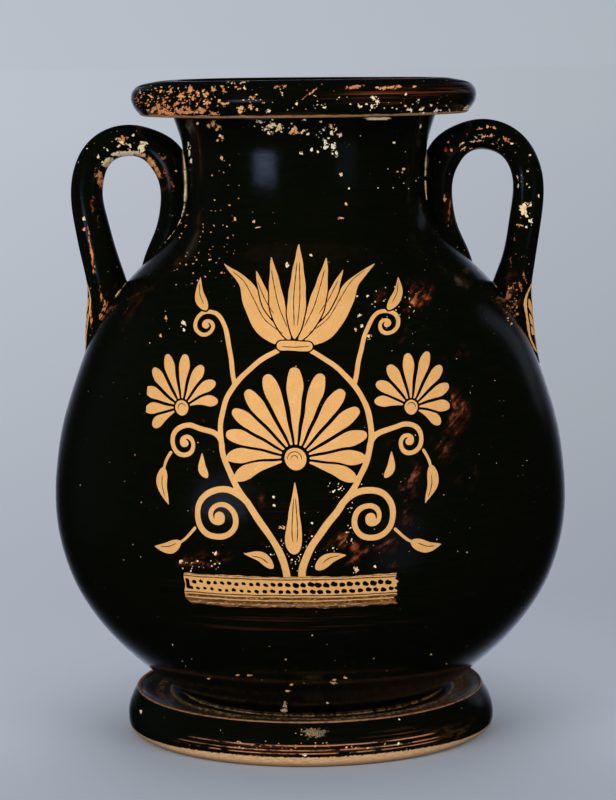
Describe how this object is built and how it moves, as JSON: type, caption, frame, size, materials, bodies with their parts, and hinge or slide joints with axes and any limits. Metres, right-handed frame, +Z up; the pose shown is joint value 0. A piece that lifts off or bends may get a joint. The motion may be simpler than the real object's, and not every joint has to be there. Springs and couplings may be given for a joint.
{
  "type": "pelike",
  "caption": "Two-handled clay storage jar with a sagging rounded belly, short flared neck, thick torus mouth, looped rod handles and a spreading disc foot.",
  "frame": {"origin": "centre of the foot's resting plane, on the jar's axis", "axes": "+Z up along the jar's axis; the decorated front faces -Y; the handles stand on -X and +X"},
  "size_m": [0.22, 0.22, 0.28],
  "materials": {
    "black_gloss": "glossy black slip fired on clay, chipped and streaked",
    "worn_gloss": "black slip worn through to ochre clay",
    "bare_clay": "burnished orange clay"
  },
  "bodies": {
    "root": {"jar_wall": "black_gloss", "mouth_ring": "black_gloss", "foot_ring": "black_gloss", "foot_fillet": "worn_gloss", "handle_left": "black_gloss", "handle_right": "black_gloss", "luting_neck_left": "bare_clay", "luting_neck_right": "bare_clay", "luting_shoulder_left": "bare_clay", "luting_shoulder_right": "bare_clay"}
  },
  "joints": []
}
